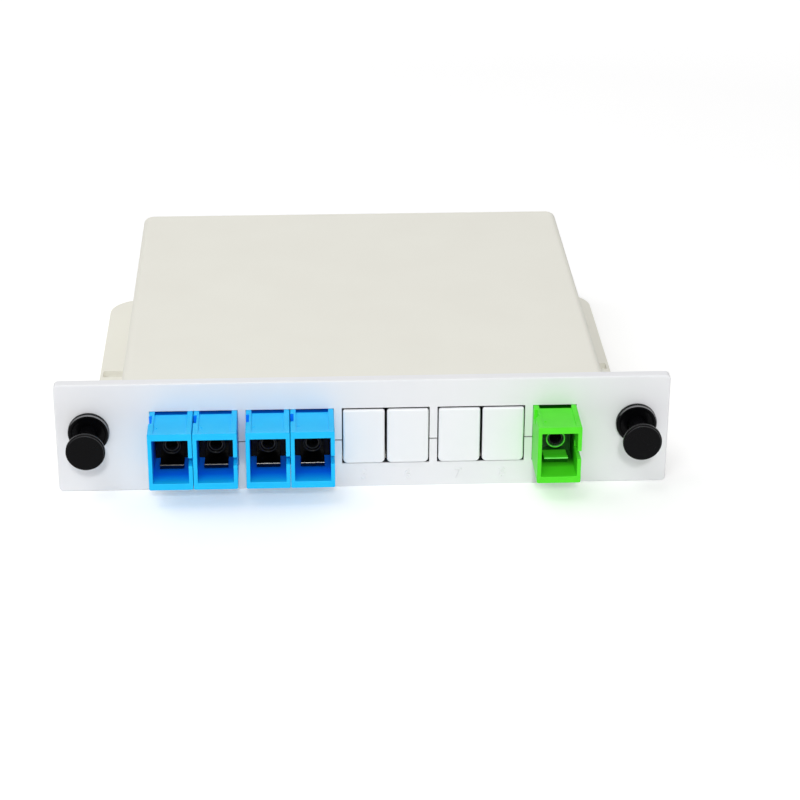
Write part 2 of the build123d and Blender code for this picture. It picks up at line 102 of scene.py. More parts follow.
class Slot(str, Enum):
    """Material slots of the record."""

    CASE = "case_white"
    BLANK = "blank_white"
    ADAPTER_BLUE = "adapter_blue"
    ADAPTER_GREEN = "adapter_green"
    HOLDER_BLACK = "holder_black"
    HOLDER_GREEN = "holder_green"
    CERAMIC = "zirconia"
    PLUG_BLUE = "plug_blue"
    PLUG_GREEN = "plug_green"
    BOOT = "boot_rubber"
    MODULE = "module_steel"
    SCREW = "screw_steel"
    JACKET = "fibre_jacket"
    NYLON = "latch_nylon"


# The slot of each CAD node, by the start of its name.
NODE_SLOTS: dict[str, Slot] = {
    "upper_case": Slot.CASE,
    "bottom_cover": Slot.CASE,
    "cover_screw": Slot.SCREW,
    "blank": Slot.BLANK,
    "adapter": Slot.ADAPTER_BLUE,
    "front_holder": Slot.HOLDER_BLACK,
    "rear_holder": Slot.HOLDER_BLACK,
    "sleeve": Slot.CERAMIC,
    "ferrule": Slot.CERAMIC,
    "plug": Slot.PLUG_BLUE,
    "boot": Slot.BOOT,
    "splitter_module": Slot.MODULE,
    "fibre": Slot.JACKET,
    "latch": Slot.NYLON,
}
# What takes their place in the input port, which has angled contacts.
GREEN_SLOTS: dict[Slot, Slot] = {
    Slot.ADAPTER_BLUE: Slot.ADAPTER_GREEN,
    Slot.HOLDER_BLACK: Slot.HOLDER_GREEN,
    Slot.PLUG_BLUE: Slot.PLUG_GREEN,
}


def node_slot(name: str) -> Slot:
    """Finds the slot of a CAD node from its name.

    Args:
        name: The node's name.

    Returns:
        The slot whose material it gets.
    """
    slot = next(slot for start, slot in NODE_SLOTS.items() if name.startswith(start))
    return GREEN_SLOTS.get(slot, slot) if name.endswith("_in") else slot


def linear(code: str) -> tuple[float, float, float, float]:
    """Turns an sRGB hex colour to linear.

    Args:
        code: The colour as "#RRGGBB".

    Returns:
        Linear red, green and blue, with an alpha of 1.
    """
    channels = [int(code[i : i + 2], 16) / 255 for i in (1, 3, 5)]
    values = [c / 12.92 if c <= 0.04045 else ((c + 0.055) / 1.055) ** 2.4 for c in channels]
    return (values[0], values[1], values[2], 1.0)


def add_node(
    tree: Tree,
    kind: str,
    settings: dict[str, Any] | None = None,
    values: dict[str | int, Any] | None = None,
    links: dict[str | int, Socket] | None = None,
) -> bpy.types.Node:
    """Adds a node with its settings, socket values and links.

    Args:
        tree: The node tree that it goes in.
        kind: The node's type name, without "ShaderNode".
        settings: Attributes of the node itself.
        values: Values for its input sockets, by name or number.
        links: Output sockets to join to its inputs, by name or number.

    Returns:
        The new node.
    """
    node = tree.nodes.new(f"ShaderNode{kind}")
    for key, value in (settings or {}).items():
        setattr(node, key, value)
    for key, value in (values or {}).items():
        node.inputs[key].default_value = value
    for key, socket in (links or {}).items():
        tree.links.new(socket, node.inputs[key])
    return node


def fresh_tree(owner: bpy.types.Material | bpy.types.World) -> Tree:
    """Gives a material or the world an empty node tree.

    Args:
        owner: The material or world.

    Returns:
        Its tree.
    """
    owner.use_nodes = True
    owner.node_tree.nodes.clear()
    return owner.node_tree


@dataclass(frozen=True)
class Zone:
    """A box of the piece where its finish has other colours.

    Attributes:
        low: Lowest corner in millimetres.
        high: Highest corner in millimetres.
        colour: Main colour there, sRGB hex.
        shade: Colour of the faint uneven patches there, sRGB hex.
    """

    low: Point
    high: Point
    colour: str
    shade: str

    def mask(self, tree: Tree, place: Socket) -> Socket:
        """Gives 1 inside the box and 0 outside.

        Args:
            tree: The material's node tree.
            place: Position on the piece.

        Returns:
            The mask's output.
        """
        middle = tuple((a + b) / 2 * MM for a, b in zip(self.low, self.high))
        half = tuple((b - a) / 2 * MM for a, b in zip(self.low, self.high))
        share = place
        for operation, values in (
            ("SUBTRACT", {1: middle}), ("DIVIDE", {1: half}), ("ABSOLUTE", {}),
        ):
            share = add_node(
                tree, "VectorMath", {"operation": operation}, values, {0: share}
            ).outputs[0]
        most, *others = add_node(tree, "SeparateXYZ", links={0: share}).outputs
        for other in others:
            most = add_node(
                tree, "Math", {"operation": "MAXIMUM"}, links={0: most, 1: other}
            ).outputs[0]
        return add_node(tree, "Math", {"operation": "LESS_THAN"}, {1: 1.0}, {0: most}).outputs[0]


@dataclass(frozen=True)
class Finish:
    """A real material and how its surface was made.

    Attributes:
        name: Name of the Blender material.
        slot: The record's slot that it dresses.
        colour: Main colour, sRGB hex.
        shade: Colour of the faint uneven patches, sRGB hex.
        roughness: Mean roughness.
        roughness_spread: How far the roughness wanders either way.
        ior: Index of refraction.
        metallic: 1 for a metal.
        specular: Specular level, 0.5 for a plain surface.
        grain: Size of the surface texture in millimetres. The real one is finer, near 0.1 mm,
            and is drawn coarser so that it shows.
        relief: Height of that texture in millimetres.
        patch: Size of the uneven patches in millimetres.
        stretch: How much longer the texture is along each axis.
        zones: Places with other colours, later ones over earlier ones.
        accent: Painted shade or highlight colour of the faces a piece marks for it, sRGB hex, or
            nothing.
    """

    name: str
    slot: Slot
    colour: str
    shade: str
    roughness: float
    roughness_spread: float = 0.04
    ior: float = 1.5
    metallic: float = 0.0
    specular: float = 0.5
    grain: float = 0.3
    relief: float = 0.004
    patch: float = 9.0
    stretch: Point = (1.0, 1.0, 1.0)
    zones: tuple[Zone, ...] = ()
    accent: str = ""

    def accent_share(self, tree: Tree, place: Socket) -> Socket:
        """Gives how much of the accent colour a marked face gets, from 0 to 1."""
        return add_node(tree, "Attribute", {"attribute_name": ACCENT_LAYER}).outputs["Fac"]

    def tint(self, tree: Tree, place: Socket, patches: Socket) -> Socket:
        """Mixes the main colour with its uneven patches, its zones and the accent.

        Args:
            tree: The material's node tree.
            place: Position on the piece.
            patches: Patch pattern from 0 to 1.

        Returns:
            The colour output.
        """
        colour_mix = {"data_type": "RGBA"}
        mixes = [
            add_node(
                tree, "Mix", colour_mix,
                {MIX_A: linear(part.colour), MIX_B: linear(part.shade)}, {0: patches},
            ).outputs[MIX_OUT]
            for part in (self, *self.zones)
        ]
        result = mixes[0]
        for zone, mixed in zip(self.zones, mixes[1:]):
            result = add_node(
                tree, "Mix", colour_mix,
                links={0: zone.mask(tree, place), MIX_A: result, MIX_B: mixed},
            ).outputs[MIX_OUT]
        if self.accent:
            result = add_node(
                tree, "Mix", colour_mix, {MIX_B: linear(self.accent)},
                {0: self.accent_share(tree, place), MIX_A: result},
            ).outputs[MIX_OUT]
        return result

    def build(self) -> bpy.types.Material:
        """Makes the material.

        Returns:
            The material, with its nodes.
        """
        material = bpy.data.materials.new(self.name)
        tree = fresh_tree(material)
        place = add_node(tree, "TexCoord").outputs["Object"]
        spread = add_node(
            tree, "Mapping", values={"Scale": tuple(1.0 / s for s in self.stretch)},
            links={"Vector": place},
        ).outputs["Vector"]
        grain, patches = (
            add_node(
                tree, "TexNoise",
                values={"Scale": 1.0 / (size * MM), "Detail": detail, "Roughness": fineness},
                links={"Vector": spread},
            ).outputs["Fac"]
            for size, detail, fineness in ((self.grain, 2.0, 0.5), (self.patch, 3.0, 0.55))
        )
        roughness = add_node(
            tree, "MapRange",
            values={
                "To Min": self.roughness - self.roughness_spread,
                "To Max": self.roughness + self.roughness_spread,
            },
            links={"Value": patches},
        ).outputs["Result"]
        bump = add_node(
            tree, "Bump", values={"Strength": 1.0, "Distance": self.relief * MM},
            links={"Height": grain},
        ).outputs["Normal"]
        shader = add_node(
            tree, "BsdfPrincipled",
            values={
                "Metallic": self.metallic, "IOR": self.ior, "Specular IOR Level": self.specular,
            },
            links={
                "Base Color": self.tint(tree, place, patches), "Roughness": roughness,
                "Normal": bump,
            },
        )
        add_node(tree, "OutputMaterial", links={"Surface": shader.outputs["BSDF"]})
        return material


@dataclass(frozen=True)
class AdapterPbt(Finish):
    """Dyed PBT of an adapter, with painted shade that deepens into the mouth, between its own
    walls.

    Attributes:
        mouth: Depths in millimetres between which the painted shade takes over.
    """

    mouth: Pair = (-12.8, -9.0)

    def accent_share(self, tree: Tree, place: Socket) -> Socket:
        """Lets the painted shade of the marked faces grow with depth.

        Args:
            tree: The material's node tree.
            place: Position on the piece.

        Returns:
            The share's output, from 0 to 1.
        """
        marked = super().accent_share(tree, place)
        depth = add_node(tree, "SeparateXYZ", links={0: place}).outputs["Y"]
        deep = add_node(
            tree, "MapRange",
            values={"From Min": self.mouth[0] * MM, "From Max": self.mouth[1] * MM},
            links={"Value": depth},
        ).outputs["Result"]
        return add_node(
            tree, "Math", {"operation": "MULTIPLY"}, links={0: marked, 1: deep}
        ).outputs[0]


# Moulded ABS with a fine spark-eroded texture: a satin sheen with no sharp reflections. The
# panel is cooler and cleaner than the shell, and the walls of its openings get painted shade.
CASE_ABS = Finish(
    "abs_white_eroded_mould", Slot.CASE, "#EBEBED", "#E6E7EA",
    roughness=0.58, ior=1.54, specular=0.3, grain=0.25, relief=0.004, patch=14.0,
    zones=(
        Zone((-99.0, 0.02, -9.0), (99.0, 120.0, 40.0), "#E9E8DE", "#E6E4DA"),
        # Painted shade on the walls of the panel's openings.
        Zone((-45.35, -2.0, 5.4), (45.35, -0.02, 18.7), "#2C2E32", "#34363A"),
    ),
)
# Moulded ABS from a polished cavity: a little whiter and glossier than the case round it.
# Its skirt, which shows only in the gap round it, gets painted shade.
BLANK_ABS = Finish(
    "abs_white_polished_mould", Slot.BLANK, "#EFF0F2", "#EBEDF0",
    roughness=0.36, ior=1.54, specular=0.35, grain=0.5, relief=0.002, patch=6.0,
    zones=(Zone((-99.0, -2.3, -9.0), (99.0, 20.0, 40.0), "#34363A", "#3C3E42"),),
)
# Moulded PBT, dyed through: deep even colour with a soft gloss and faint flow patches.
# Its accent is painted shade in the mouth, the groove and the side notch.
BLUE_PBT = AdapterPbt(
    "pbt_blue_moulded", Slot.ADAPTER_BLUE, "#18C8FF", "#0CB8FA",
    roughness=0.38, ior=1.55, specular=0.2, grain=0.35, relief=0.003, patch=5.0,
    accent="#007AFF",
)
# The same dyed green. Its painted shade starts further into the mouth.
GREEN_PBT = replace(
    BLUE_PBT, name="pbt_green_moulded", slot=Slot.ADAPTER_GREEN, colour="#58E92A",
    shade="#4BDE1E", accent="#0A6605", mouth=(-8.8, -4.8),
)
# Moulded glass-filled PBT, black: it reads as a deep gap, with thin weak glints at its edges.
BLACK_PBT = Finish(
    "pbt_black_glass_filled", Slot.HOLDER_BLACK, "#040405", "#060607",
    roughness=0.17, ior=1.55, specular=0.12, grain=0.2, relief=0.0015, patch=3.0,
)
# The same moulding in green: satin and bright in front, with painted shade at the back,
# in the tube's lead-in and under the arms' tips.
GREEN_HOLDER_PBT = Finish(
    "pbt_green_glass_filled", Slot.HOLDER_GREEN, "#60FA34", "#52F028",
    roughness=0.38, ior=1.55, grain=0.2, relief=0.004, patch=3.0,
    accent="#0A5A06",
    # Painted shade at the back of the moulding.
    zones=(Zone((-99.0, -3.0, -9.0), (99.0, 20.0, 40.0), "#0F6E08", "#0C6006"),),
)
# Sintered zirconia, ground and polished, coloured near black as painted shade: it makes the
# bore of the sleeve read dark.
CERAMIC = Finish(
    "zirconia_ground_painted_shade", Slot.CERAMIC, "#1A1A1C", "#222224",
    roughness=0.15, roughness_spread=0.03, ior=2.1, specular=0.08, grain=0.3, relief=0.001,
    patch=2.0,
)
# Moulded PBT of the plug bodies: a plain satin colour, deeper than the adapters'.
PLUG_BLUE_PBT = Finish(
    "pbt_blue_plug_moulded", Slot.PLUG_BLUE, "#1A80DC", "#1674CE",
    roughness=0.4, ior=1.55, grain=0.35, relief=0.003, patch=5.0,
)
PLUG_GREEN_PBT = replace(
    PLUG_BLUE_PBT, name="pbt_green_plug_moulded", slot=Slot.PLUG_GREEN, colour="#3DB81C",
    shade="#34AA16",
)
# Moulded thermoplastic rubber: matt, and it takes a little dust.
BOOT_RUBBER = Finish(
    "rubber_boot_moulded", Slot.BOOT, "#E4E4E0", "#D9D9D4",
    roughness=0.68, ior=1.5, grain=0.25, relief=0.008, patch=4.0,
)
# Cold-drawn stainless tube: fine lines along its length stretch the reflections across it.
DRAWN_STEEL = Finish(
    "stainless_tube_drawn", Slot.MODULE, "#C9CACC", "#BDBEC1",
    roughness=0.3, roughness_spread=0.06, metallic=1.0, grain=0.12, relief=0.003, patch=3.0,
    stretch=(1.0, 30.0, 1.0),
)
# Zinc-plated steel screw: bright but cloudy, as plated small parts are.
PLATED_STEEL = Finish(
    "steel_zinc_plated", Slot.SCREW, "#C4C6C9", "#AEB2B8",
    roughness=0.34, roughness_spread=0.08, metallic=1.0, grain=0.15, relief=0.004, patch=1.2,
)
# Extruded jacket over the fibre: smooth and slightly waxy.
JACKET = Finish(
    "jacket_white_extruded", Slot.JACKET, "#F0EFEA", "#E8E7E0",
    roughness=0.45, ior=1.5, grain=0.3, relief=0.003, patch=8.0,
)
# Moulded nylon 66, black: satin, with a painted highlight on the upper edges of its rims.
NYLON = Finish(
    "nylon_black_moulded", Slot.NYLON, "#050506", "#08080A",
    roughness=0.24, ior=1.53, specular=0.07, grain=0.3, relief=0.002, patch=3.0,
    accent="#8E8E90",
)
FINISHES = (
    CASE_ABS, BLANK_ABS, BLUE_PBT, GREEN_PBT, BLACK_PBT, GREEN_HOLDER_PBT, CERAMIC,
    PLUG_BLUE_PBT, PLUG_GREEN_PBT, BOOT_RUBBER, DRAWN_STEEL, PLATED_STEEL, JACKET, NYLON,
)


class Palette:
    """The materials, made once each, and what puts them on pieces."""

    def __init__(self) -> None:
        """Makes every finish's material."""
        self.materials = {finish.slot: finish.build() for finish in FINISHES}

    def dress(self, piece: Item, slot: Slot) -> None:
        """Puts one slot's material all over a piece, in place of its old ones."""
        piece.data.materials.clear()
        piece.data.materials.append(self.materials[slot])


def add_item(name: str, data: Any) -> Item:
    """Puts a mesh, lens or lamp in the scene as an object.

    Args:
        name: The object's name.
        data: The mesh, lens or lamp.

    Returns:
        The object.
    """
    item = bpy.data.objects.new(name, data)
    bpy.context.scene.collection.objects.link(item)
    return item


def add_shape(name: str, shape: Shape) -> Item:
    """Turns a working mesh into an object in the scene.

    Args:
        name: The object's name.
        shape: The working mesh, which is freed.

    Returns:
        The object.
    """
    bmesh.ops.recalc_face_normals(shape, faces=shape.faces[:])
    mesh = bpy.data.meshes.new(name)
    shape.to_mesh(mesh)
    shape.free()
    return add_item(name, mesh)


def block(low: Point, high: Point, corner: float = 0.0) -> Item:
    """Makes a block, whose edges along the depth may be rounded.

    Args:
        low: Its lowest corner.
        high: Its highest corner.
        corner: Radius of the edges along the depth.

    Returns:
        The block.
    """
    shape = bmesh.new()
    bmesh.ops.create_cube(shape, size=1.0)
    for vertex in shape.verts:
        vertex.co = Vector(
            (low[i] + (high[i] - low[i]) * (vertex.co[i] + 0.5)) * MM for i in range(3)
        )
    if corner:
        long_edges = [e for e in shape.edges if abs(e.verts[0].co.y - e.verts[1].co.y) > WELD]
        bmesh.ops.bevel(
            shape, geom=long_edges, offset=corner * MM, segments=CORNER_STEPS, profile=0.5,
            affect="EDGES",
        )
    return add_shape("block", shape)


def prism(outline: Sequence[Pair], left: float, right: float) -> Item:
    """Makes a bar along X from its outline.

    Args:
        outline: Corners of the outline as (y, z).
        left: Where it starts along X.
        right: Where it ends along X.

    Returns:
        The bar.
    """
    shape = bmesh.new()
    ends = [
        [shape.verts.new((x * MM, y * MM, z * MM)) for y, z in outline] for x in (left, right)
    ]
    shape.faces.new(ends[0])
    shape.faces.new(reversed(ends[1]))
    count = len(outline)
    for i in range(count):
        j = (i + 1) % count
        shape.faces.new((ends[0][i], ends[1][i], ends[1][j], ends[0][j]))
    return add_shape("prism", shape)


def turned(profile: Sequence[Pair], x: float, z: float, steps: int) -> Item:
    """Turns a closed profile round an axis that runs into the chassis.

    Args:
        profile: Corners of the profile as (y, radius).
        x: Place of the axis along X.
        z: Height of the axis.
        steps: Facets round the axis.

    Returns:
        The turned shape.
    """
    shape = bmesh.new()
    angles = [2 * math.pi * k / steps for k in range(steps)]
    rings = [
        [
            shape.verts.new((
                (x + radius * math.cos(a)) * MM, y * MM, (z + radius * math.sin(a)) * MM
            ))
            for a in (angles if radius > 0 else angles[:1])
        ]
        for y, radius in profile
    ]
    for ring, after in zip(rings, rings[1:] + rings[:1]):
        if len(ring) == len(after) == 1:
            continue
        for k in range(steps):
            n = (k + 1) % steps
            corners = (
                ring[k % len(ring)], ring[n % len(ring)],
                after[n % len(after)], after[k % len(after)],
            )
            shape.faces.new(tuple(dict.fromkeys(corners)))
    return add_shape("turned", shape)


def arc(y: float, radius: float, size: float, start: float, end: float, steps: int) -> list[Pair]:
    """Gives the points of a rounded edge of a profile.

    Args:
        y: Depth of the rounding's centre.
        radius: Distance of that centre from the axis.
        size: The rounding's own radius.
        start: First angle in degrees, 0 towards +Y and 90 away from the axis.
        end: Last angle in degrees.
        steps: How many facets it has.

    Returns:
        Points as (y, radius).
    """
    angles = [math.radians(start + (end - start) * k / steps) for k in range(steps + 1)]
    return [(y + size * math.cos(a), radius + size * math.sin(a)) for a in angles]


def settle(item: Item) -> None:
    """Applies an object's modifiers to its mesh.

    Args:
        item: The object, which keeps its name and gets a new mesh.
    """
    graph = bpy.context.evaluated_depsgraph_get()
    mesh = bpy.data.meshes.new_from_object(item.evaluated_get(graph))
    old = item.data
    item.modifiers.clear()
    item.data = mesh
    bpy.data.meshes.remove(old)


def combine(item: Item, others: Sequence[Item], operation: str) -> None:
    """Joins shapes to an object, or cuts them out of it.

    Args:
        item: The object that changes.
        others: The shapes, which are removed.
        operation: "UNION" or "DIFFERENCE".
    """
    for other in others:
        modifier = item.modifiers.new(operation, "BOOLEAN")
        modifier.operation = operation
        modifier.solver = "EXACT"
        modifier.object = other
    settle(item)
    for other in others:
        mesh = other.data
        bpy.data.objects.remove(other)
        bpy.data.meshes.remove(mesh)


def weld(shape: Shape) -> None:
    """Merges what lies closer than a mould could tell apart, so that no sliver is left."""
    bmesh.ops.remove_doubles(shape, verts=shape.verts[:], dist=WELD)
    bmesh.ops.dissolve_degenerate(shape, edges=shape.edges[:], dist=WELD)


def shade_by_angle(shape: Shape) -> None:
    """Shades a mesh smooth, with its sharp edges left sharp.

    Args:
        shape: The working mesh.
    """
    for face in shape.faces:
        face.smooth = True
    for edge in shape.edges:
        edge.smooth = edge.is_manifold and edge.calc_face_angle(0.0) < SOFT_ANGLE


def rework(item: Item, *changes: Callable[[Shape], None]) -> None:
    """Changes an object's mesh.

    Args:
        item: The object.
        changes: What is done to its working mesh, in order.
    """
    shape = bmesh.new()
    shape.from_mesh(item.data)
    for change in changes:
        change(shape)
    shape.to_mesh(item.data)
    shape.free()


def soften(item: Item, width: float = 0.0) -> None:
    """Rounds an object's sharp edges as a mould does, and shades it to suit.

    Args:
        item: The object.
        width: Radius of the rounding, or nothing where its shape already has it.
    """
    if width:
        rework(item, weld)
        bevel = item.modifiers.new("edges", "BEVEL")
        bevel.width = width * MM
        bevel.segments = EDGE_STEPS
        bevel.limit_method = "ANGLE"
        bevel.angle_limit = SOFT_ANGLE
        bevel.use_clamp_overlap = False
        settle(item)
    rework(item, weld, shade_by_angle)
    item.modifiers.new("normals", "WEIGHTED_NORMAL").keep_sharp = True
    settle(item)


def mark_faces(item: Item, share: Callable[[Vector, Vector], float]) -> None:
    """Marks faces for the accent colour of their finish.

    Args:
        item: The object.
        share: Gives the accent's share from a face's middle in millimetres and its normal.
    """
    layer = item.data.attributes.new(ACCENT_LAYER, "FLOAT", "FACE")
    for face, value in zip(item.data.polygons, layer.data):
        value.value = share(face.center / MM, face.normal)


def adopt(
    item: Item, name: str, slot: Slot, body: Body, palette: Palette,
    stands_for: Sequence[str] = (),
) -> None:
    """Makes a finished shape a piece of the object.

    Args:
        item: The shape, in place.
        name: The piece's name.
        slot: The record's slot that it takes its finish from.
        body: The body that it rides on.
        palette: The materials.
        stands_for: CAD nodes that it replaces.
    """
    item.name = name
    item.data.name = name
    palette.dress(item, slot)
    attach(item, body.value)
    if stands_for:
        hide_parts(*stands_for)
    LOG.info("%s: %d faces, rides on %s", name, len(item.data.polygons), body.value)


def seat(node: str) -> tuple[float, float, float, float]:
    """Reads where a CAD node sits.

    Args:
        node: The node's name.

    Returns:
        Its middle along X, its middle height, and the depths of its front and rear, in
        millimetres.
    """
    low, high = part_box(node)
    return (low.x + high.x) / 2 / MM, (low.z + high.z) / 2 / MM, low.y / MM, high.y / MM


@dataclass
class PortNumbers:
    """Raised numbers on the lip below the ports.

    Attributes:
        labels: What stands below each port, and its middle along the panel.
        height: Height of a figure.
        level: Middle of the figures above the underside.
        rise: How far they stand out of the lip.
        soft: Rounding of their edges.
        squeeze: Width as a share of the plain letter's.
    """

    labels: dict[str, float]
    height: float = 2.3
    level: float = 2.75
    rise: float = 0.16
    soft: float = 0.05
    squeeze: float = 0.92

    def build(self, palette: Palette) -> None:
        """Makes one piece for each label.

        Args:
            palette: The materials.
        """
        lip_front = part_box("bottom_cover")[0].y
        stand = Matrix.Rotation(math.radians(90), 4, "X")
        for text, x in self.labels.items():
            curve = bpy.data.curves.new(f"number_{text}", "FONT")
            curve.body = text
            curve.align_x = "CENTER"
            curve.size = 1.0
            curve.resolution_u = 6
            letter = bpy.data.objects.new(f"letter_{text}", curve)
            flat = bpy.data.meshes.new_from_object(letter)
            heights = [v.co.y for v in flat.vertices]
            bpy.data.meshes.remove(flat)
            curve.size = self.height / (max(heights) - min(heights)) * MM
            curve.extrude = self.rise * MM
            curve.bevel_depth = self.soft * MM
            curve.bevel_resolution = 2
            mesh = bpy.data.meshes.new_from_object(letter)
            bpy.data.objects.remove(letter)
            mesh.transform(stand @ Matrix.Diagonal((self.squeeze, 1, 1, 1)))
            across = [v.co.x for v in mesh.vertices]
            upright = [v.co.z for v in mesh.vertices]
            mesh.transform(Matrix.Translation((
                x * MM - (min(across) + max(across)) / 2,
                lip_front,
                self.level * MM - (min(upright) + max(upright)) / 2,
            )))
            item = add_item("figure", mesh)
            adopt(item, f"port_number_{text}", Slot.CASE, Body.ROOT, palette)


@dataclass
class Adapter:
    """One SC adapter: its housing and the latch moulding seen through its mouth.

    Attributes:
        port: The port's name.
        width: Outside width.
        height: Outside height.
        side: Wall at each side of the mouth.
        floor: Wall above and below the mouth.
        corner: Radius of its long edges.
        edge: Rounding of its moulded edges.
        key_width: Width of the key slot in one side wall.
        key_length: How far the key slot runs in from each end.
        key_root: How far the slot's cutter starts inside the mouth.
        field_margin: Rim at each side of the sunk field on top and bottom.
        field_rim: Rim in front of that field.
        field_depth: How deep the field is sunk.
        groove: Length and depth of the groove in front of the panel.
        notch: Depth, length and height of the notch in the upper left edge.
        notch_start: Distance from the panel to that notch.
        notch_shade: The share of painted shade in the notch of a blue adapter.
        ridge_rise: How far the ridges behind the panel stand out.
        ridge_root: How far they reach into the wall below the field.
        ridge_depth: Where they start and end.
        mark_radius: Radius of the ejector's round mark in the field.
        mark_depth: Depth of that mark.
        mark_place: Its distance from the left side and from the front.
        mark_facets: Facets round it.
        plate: Thickness of the inner moulding's plate.
        plate_gap: Gap between that plate and the mouth.
        plate_bore: Radius of the hole through it.
        bore_facets: Facets round that hole.
        arm_width: Width of a latch arm.
        arm_inside: Distance of the arm's inner side from the port's axis.
        arm_thickness: Thickness of an arm.
        arm_root: How far an arm starts inside the plate.
        arm_tip: How far an arm reaches from the plate's rear.
        arm_edge: Rounding of the inner moulding's edges.
        hook: Length, flat end and rise of the hook at the tip.
        glint: Height of the slope on the hook's end.
        undercut: How far the outside of the tip is cut back.
        tip_shade: How far behind the undercut faces count as the tip's, for its painted shade.
        tip_slope: Least slope of a face that counts as the tip's underside.
        tube_radius: Outside radius of the sleeve's tube.
        tube_bore: Radius of its bore.
        tube_root: How far it starts inside the plate.
        tube_end: How far it reaches from the plate's rear.
        tube_facets: Facets round it.
        tube_lip: Length of the lip that holds the sleeve.
        tube_lip_bore: Radius of the hole through that lip.
        tube_ease: Rounding of the tube's outer edge.
        tube_lead: Rounding of the lead-in to its bore.
        tube_shade: Distance from the plate's rear where the lead-in's painted shade ends.
        rounding: Facets of the tube's roundings.
    """

    port: str
    width: float = 9.2
    height: float = 12.95
    side: float = 0.85
    floor: float = 1.5
    corner: float = 0.3
    edge: float = 0.1
    key_width: float = 1.8
    key_length: float = 6.0
    key_root: float = 0.1
    field_margin: float = 1.2
    field_rim: float = 0.9
    field_depth: float = 0.35
    groove: Pair = (0.8, 0.9)
    notch: Point = (0.7, 3.6, 2.2)
    notch_start: float = 2.0
    notch_shade: float = 0.8
    ridge_rise: float = 0.9
    ridge_root: float = 0.2
    ridge_depth: Pair = (0.05, 1.95)
    mark_radius: float = 0.28
    mark_depth: float = 0.15
    mark_place: Pair = (1.75, 3.6)
    mark_facets: int = 20
    plate: float = 2.0
    plate_gap: float = 0.05
    plate_bore: float = 1.85
    bore_facets: int = 72
    arm_width: float = 5.05
    arm_inside: float = 3.8
    arm_thickness: float = 0.8
    arm_root: float = 0.5
    arm_tip: float = 8.5
    arm_edge: float = 0.05
    hook: Point = (1.2, 0.14, 0.5)
    glint: float = 0.24
    undercut: float = 0.8
    tip_shade: float = 0.1
    tip_slope: float = 0.2
    tube_radius: float = 2.05
    tube_bore: float = 1.63
    tube_root: float = 0.3
    tube_end: float = 6.23
    tube_facets: int = 48
    tube_lip: float = 0.5
    tube_lip_bore: float = 1.5
    tube_ease: float = 0.12
    tube_lead: float = 0.28
    tube_shade: float = 1.5
    rounding: int = 4

    def __post_init__(self) -> None:
        """Reads the adapter's place from its solid."""
        self.x, self.z, self.front, self.rear = seat(f"adapter_{self.port}")
        self.middle = (self.front + self.rear) / 2
        self.panel_front = seat("upper_case")[2]

    def block_at(self, x: Pair, y: Pair, z: Pair) -> Item:
        """Makes a block from spans measured from the port's own axis."""
        return block((self.x + x[0], y[0], self.z + z[0]), (self.x + x[1], y[1], self.z + z[1]))

    def housing(self) -> Item:
        """Shapes the keyed rectangular housing.

        Returns:
            The housing.
        """
        half_w, half_h = self.width / 2, self.height / 2
        mouth_w, mouth_h = half_w - self.side, half_h - self.floor
        field_w = half_w - self.field_margin
        front, rear = self.front - PAST, self.rear + PAST
        body = block(
            (self.x - half_w, self.front, self.z - half_h),
            (self.x + half_w, self.rear, self.z + half_h), self.corner,
        )
        ridges = [
            self.block_at((-field_w, field_w), self.ridge_depth, (a, b))
            for a, b in (
                (half_h - self.field_depth - self.ridge_root, half_h + self.ridge_rise),
                (-half_h - self.ridge_rise, -half_h + self.field_depth + self.ridge_root),
            )
        ]
        combine(body, ridges, "UNION")
        key = (-self.key_width / 2, self.key_width / 2)
        key_wall = (mouth_w - self.key_root, half_w + PAST)
        notch_depth, notch_length, notch_height = self.notch
        notch_end = self.panel_front - self.notch_start
        cuts = [
            self.block_at((-mouth_w, mouth_w), (front, rear), (-mouth_h, mouth_h)),
            self.block_at(key_wall, (front, self.front + self.key_length), key),
            self.block_at(key_wall, (self.rear - self.key_length, rear), key),
            self.block_at(
                (-half_w - PAST, -half_w + notch_depth), (notch_end - notch_length, notch_end),
                (half_h - notch_height, half_h + PAST),
            ),
        ]
        groove_length, groove_depth = self.groove
        for up in (-1, 1):
            for start, depth in (
                (self.front + self.field_rim, self.field_depth),
                (self.panel_front - groove_length, groove_depth),
            ):
                low, high = sorted((up * (half_h - depth), up * (half_h + PAST)))
                cuts.append(self.block_at((-field_w, field_w), (start, 0.0), (low, high)))
        combine(body, cuts, "DIFFERENCE")
        mark = bmesh.new()
        bmesh.ops.create_cone(
            mark, cap_ends=True, segments=self.mark_facets, radius1=self.mark_radius * MM,
            radius2=self.mark_radius * MM, depth=2 * self.mark_depth * MM,
        )
        bmesh.ops.translate(mark, verts=mark.verts[:], vec=Vector((
            self.x - half_w + self.mark_place[0],
            self.front + self.mark_place[1],
            self.z + half_h - self.field_depth,
        )) * MM)
        combine(body, [add_shape("mark", mark)], "DIFFERENCE")
        soften(body, self.edge)
        # Painted shade in the mouth, the groove and the side notch.
        mark_faces(body, self.shaded)
        return body

